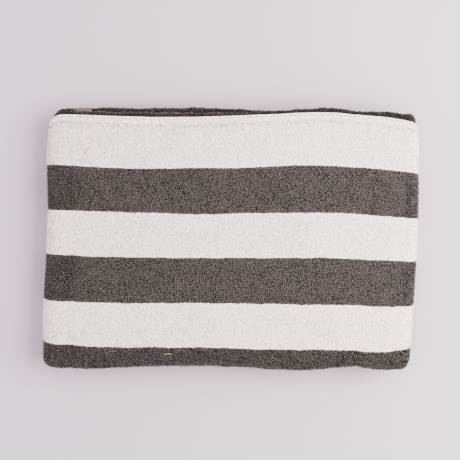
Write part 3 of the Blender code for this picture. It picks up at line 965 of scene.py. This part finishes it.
off_edge = np.where(root_row < EDGE_STRIPE / 2, STRIPE, off_edge)  # the hem isn't a stripe
turned = np.where(
    off_edge < LOOP_PITCH,
    draw.normal(0, EDGE_TURN, count),
    math.pi / 2 + draw.normal(0, 1, count) * sizes[:, 4, 0, 0],
)[:, None, None]

waves = [
    np.sin(math.tau * (root_along / (along_wave * MM) + root_across / (across_wave * MM)) + phase)
    for along_wave, across_wave, phase in PATCHES
]
openness = 0.5 + 0.5 * np.tanh(np.sum(waves, axis=0) / 2)
tone_of = LOOP_TONE + draw.normal(0, 1, count) * between(TONE_SPREAD, openness)
tone_of = tone_of + SHADED_LOOP_TONE * (draw.random(count) < between(SHADED_LOOP_SHARE, openness))
varied = np.where(
    is_dark_loop,
    1 + FRONT_VARIES * ramp(*FRONT_SHADE, root_across),
    between(WHITE_VARIES, from_left),
)
tone_of = 0.5 + (tone_of - 0.5) * varied
# Painted shade on the loops beside the seam, and painted light and shade on the dark loops.
seam_shade = np.exp(-(((root_across - SEAM_SHADE_FROM_HEM) / SEAM_SHADE_WIDTH) ** 2))
tone_of = tone_of + SEAM_SHADE_TONE * seam_shade * draw.uniform(0.5, 1.3, count)
tone_of = tone_of + painted_light_and_shade(root_along, root_across) * is_dark_loop
# The cloth under the dark loops takes the same painted light and shade, stronger.
dark_under = np.floor((woven_at(along, across) - EDGE_STRIPE) / STRIPE) % 2 == 0
under = 0.5 + GROUND_LIGHT_SHADE_GAIN * painted_light_and_shade(along, across) * dark_under * pile_here
set_values(cloth.data, "tone", under)

arc_grid, yarn_grid = arc[None, :, None], round_yarn[None, None, :]
outwards = thin * np.cos(yarn_grid)
along_loop = half_width * np.cos(arc_grid) + outwards * np.cos(arc_grid)
over_cloth = (rise + outwards) * np.sin(arc_grid) - FOOT_DEPTH * np.cos(arc_grid) ** 2
beside = thin * np.sin(yarn_grid) + lean * np.sin(arc_grid)
in_x = along_loop * np.cos(turned) - beside * np.sin(turned)
in_y = along_loop * np.sin(turned) + beside * np.cos(turned)
cloth_top = np.minimum(half_thickness(root_along, root_across), LOOPED_HALF)
loop_points = (
    folded(
        root_along[:, None, None] + in_x / lengthened[:, None, None],
        root_across[:, None, None] + in_y / widened[:, None, None],
        cloth_top[:, None, None] + over_cloth,
    )
    + SHIFT
)
kept = loop_points[..., 2].min(axis=(1, 2)) > LOWEST_LOOP
label_end = RUN_STARTS["B"] + RIGHT_TURN_X - LABEL_LEFT_X
pressed = abs(root_along - label_end + LABEL_LENGTH / 2) < LABEL_LENGTH / 2
kept = kept & ~(pressed & (root_across > PANEL_END - MOST_DRIFT))


def tube(rings, sides):
    """The faces of a closed tube of rings of points, and where their corners lie on a map."""
    faces, mapped = [], []
    for ring in range(rings - 1):
        for side in range(sides):
            first, second = ring * sides, (ring + 1) * sides
            beyond = (side + 1) % sides
            faces.append((first + side, second + side, second + beyond, first + beyond))
            mapped += [(ring, side), (ring + 1, side), (ring + 1, side + 1), (ring, side + 1)]
    mapped = [(0.1 + 0.8 * ring / (rings - 1), side / sides) for ring, side in mapped]
    ends = ((0.05, range(sides)), (0.95, range(rings * sides - 1, (rings - 1) * sides - 1, -1)))
    for middle, end in ends:
        faces.append(tuple(end))
        for side in range(sides):
            turn = math.tau * side / sides
            mapped.append((middle + 0.045 * math.cos(turn), 0.5 + 0.45 * math.sin(turn)))
    return faces, np.array(mapped)


def yarn_material(name, colour, spread, root_shade):
    """Soft spun yarn of one colour. Each loop has its tone, and painted shade darkens it towards
    its root.
    """
    material, tree, shader = new_material(
        name, {"Roughness": 0.92, "Sheen Weight": 0.25, "Sheen Roughness": 0.45}
    )
    tone, rise = own_values(tree, "tone", "rise")
    place = new_node(tree, "TexCoord", {})["Object"]
    fed = {"Colour": colour, "Place": place, "Tone": tone, "Spread": spread}
    spun = new_node(tree, "Group", fed, node_tree=yarn)
    painted_shade = math_node(tree, "MULTIPLY_ADD", rise, 1 - root_shade, root_shade)
    tree.links.new(shaded(tree, spun["Colour"], painted_shade), shader.inputs["Base Color"])
    add_bump(tree, shader, spun["Height"], 0.12 * MM, 0.6)
    return material


def made_of(name, points, faces, mapped, material):
    """A mesh object of many like tubes, one for each row of points, in squares of their map."""
    number, size = points.shape[:2]
    corners = np.concatenate(faces)
    lengths = np.tile([len(face) for face in faces], number)
    mesh = bpy.data.meshes.new(name)
    mesh.vertices.add(number * size)
    mesh.vertices.foreach_set("co", points.ravel())
    mesh.loops.add(number * len(corners))
    every = (np.arange(number)[:, None] * size + corners).ravel()
    mesh.loops.foreach_set("vertex_index", every)
    mesh.polygons.add(len(lengths))
    mesh.polygons.foreach_set("loop_start", np.cumsum(lengths) - lengths)
    mesh.update(calc_edges=True)
    mesh.shade_smooth()
    mesh.materials.append(material)
    squares = math.ceil(math.sqrt(number))
    square = np.stack((np.arange(number) % squares, np.arange(number) // squares), axis=-1)
    spread = (square[:, None] + 0.06 + 0.88 * mapped) / squares
    mesh.uv_layers.new(name="OFBake").data.foreach_set("uv", spread.ravel())
    thing = bpy.data.objects.new(name, mesh)
    bpy.context.scene.collection.objects.link(thing)
    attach(thing, "root")
    return thing


looks = {
    "white": yarn_material("white loops", WHITE_LOOPS, WHITE_SPREAD, 0.78),
    "dark": yarn_material("dark loops", DARK_LOOPS, DARK_SPREAD, 0.6),
}
one_loop = tube(LOOP_RINGS, LOOP_SIDES)
for stripe in sorted(set(stripe_of[kept])):
    chosen = np.flatnonzero(kept & (stripe_of == stripe))
    colour = "dark" if stripe % 2 == 0 else "white"
    points = loop_points[chosen].reshape(len(chosen), -1, 3)
    loops = made_of(f"pile_{colour}_{stripe + 2}", points, *one_loop, looks[colour])
    rises = np.tile(np.repeat(np.sin(arc), LOOP_SIDES), len(chosen))
    set_values(loops.data, "tone", np.repeat(tone_of[chosen], LOOP_RINGS * LOOP_SIDES))
    set_values(loops.data, "rise", rises)

# ---- The sewing of the free hem ----------------------------------------------
# Lockstitches in a strong pale cotton, pulled down into the terry beside the inner edge of the
# turned hem. They show on the top layer and round the two end folds.
STITCH_PITCH = 3.1 * MM
STITCH_LENGTH = 2.6 * MM
STITCH_RADIUS = 0.19 * MM
STITCH_RISE, STITCH_WOBBLE = 0.16 * MM, 0.12 * MM
BLUNT = 0.04  # leaves the ends of a stitch a little width
STITCH_RINGS, STITCH_SIDES = 6, 6
THREAD = (0.72, 0.65, 0.65, 1)

sewn = np.arange(RUN_STARTS["left_outer"], run_ends["right"], STITCH_PITCH)
turn = np.linspace(0, math.pi, STITCH_RINGS)
radius = STITCH_RADIUS * np.sqrt(np.sin(turn) + BLUNT)[None, :, None]
round_thread = (np.arange(STITCH_SIDES) * math.tau / STITCH_SIDES)[None, None, :]
half_here = half_thickness(sewn, SEAM_FROM_EDGE)[:, None, None]
wobble = draw.uniform(-1, 1, len(sewn))[:, None, None] * STITCH_WOBBLE
stitch_points = folded(
    sewn[:, None, None] - STITCH_LENGTH / 2 * np.cos(turn)[None, :, None],
    SEAM_FROM_EDGE + wobble + radius * np.cos(round_thread),
    half_here + STITCH_RISE * np.sin(turn)[None, :, None] + radius * np.sin(round_thread),
) + SHIFT
stitches = made_of(
    "hem_stitches",
    stitch_points.reshape(len(sewn), -1, 3),
    *tube(STITCH_RINGS, STITCH_SIDES),
    yarn_material("sewing thread", THREAD, 0.1, 1.0),
)

# ---- Pulled threads ----------------------------------------------------------
# Two pale loops of the white yarn have been pulled out, and lie along the front edge on the
# dark stripe.
SNAGS = (
    # from and to along the towel, distance from the hem, yarn radius (mm)
    (-65.0, -55.5, 246.0, 0.32),
    (-121.5, -114.5, 241.5, 0.13),
)
SNAG_LIFT = 2.2 * MM  # of its middle over the cloth's
SNAG_SINK = 1.3 * MM  # of its ends
SNAG_BOW, SNAG_BENDS = 0.3 * MM, 1.3
SNAG_RINGS, SNAG_SIDES = 24, 6
SNAG_COLOUR = (0.50, 0.45, 0.44, 1)

share = np.linspace(0, 1, SNAG_RINGS)
ends = np.sqrt(np.clip(np.sin(math.pi * share), 0, 1))
round_thread = np.arange(SNAG_SIDES) * math.tau / SNAG_SIDES
threads = []
for start, end, from_hem, thick in SNAGS:
    mid_along = RUN_STARTS["A"] - LEFT_TURN_X + (start + (end - start) * share) * MM
    mid_across = from_hem * MM + SNAG_BOW * np.sin(SNAG_BENDS * math.tau * share)
    mid_lift = SNAG_LIFT - SNAG_SINK * (2 * share - 1) ** 6
    radius = thick * MM * (0.25 + 0.75 * ends)[:, None]
    threads.append(
        folded(
            mid_along[:, None] + 0 * round_thread,
            mid_across[:, None] + radius * np.cos(round_thread),
            mid_lift[:, None] + radius * np.sin(round_thread),
        )
        + SHIFT
    )
snags = made_of(
    "pulled_threads",
    np.stack(threads).reshape(len(SNAGS), -1, 3),
    *tube(SNAG_RINGS, SNAG_SIDES),
    yarn_material("pulled yarn", SNAG_COLOUR, 0.5, 1.0),
)

# ---- The label ---------------------------------------------------------------
# A blank satin ribbon, sewn to the cloth of the second strip beside its back fold, so that its
# end shows between two folds.
LABEL_WIDTH = 13 * MM
LABEL_LIFT = 1.5 * MM  # of its middle over the cloth's
LABEL_HALF = 0.25 * MM
LABEL_ROUND_TURN = 0.80  # share of the back fold that it is bent over
LABEL_COLOUR = (0.168, 0.143, 0.137, 1)
LABEL_RIB = 0.5 * MM
label_edge = PANEL_END + (BACK_END - PANEL_END) * LABEL_ROUND_TURN
label, corners = flat_sheet("label_ribbon", 24, 20, 2 * LABEL_HALF)
points = folded(
    label_end - LABEL_LENGTH * (0.5 - corners[:, 0]),
    label_edge - LABEL_WIDTH * (0.5 - corners[:, 1]),
    LABEL_LIFT + corners[:, 2],
)
label.data.vertices.foreach_set("co", (points + SHIFT).ravel())
label.data.shade_smooth()
satin, tree, shader = new_material("label satin", {"Roughness": 0.45})
place = new_node(tree, "TexCoord", {})["Object"]
fed = {"Colour": LABEL_COLOUR, "Place": place, "Tone": 0.5, "Spread": 0.35}
woven_satin = new_node(tree, "Group", fed, node_tree=yarn)["Colour"]
from_left = new_node(tree, "SeparateXYZ", {0: place})["X"]
ribs = math_node(tree, "SINE", math_node(tree, "MULTIPLY", from_left, math.tau / LABEL_RIB))
rib_shade = math_node(tree, "MULTIPLY_ADD", ribs, 0.06, 0.94)
tree.links.new(shaded(tree, woven_satin, rib_shade), shader.inputs["Base Color"])
add_bump(tree, shader, ribs, 0.06 * MM)
label.data.materials.append(satin)
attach(label, "root")
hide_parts("care_label")
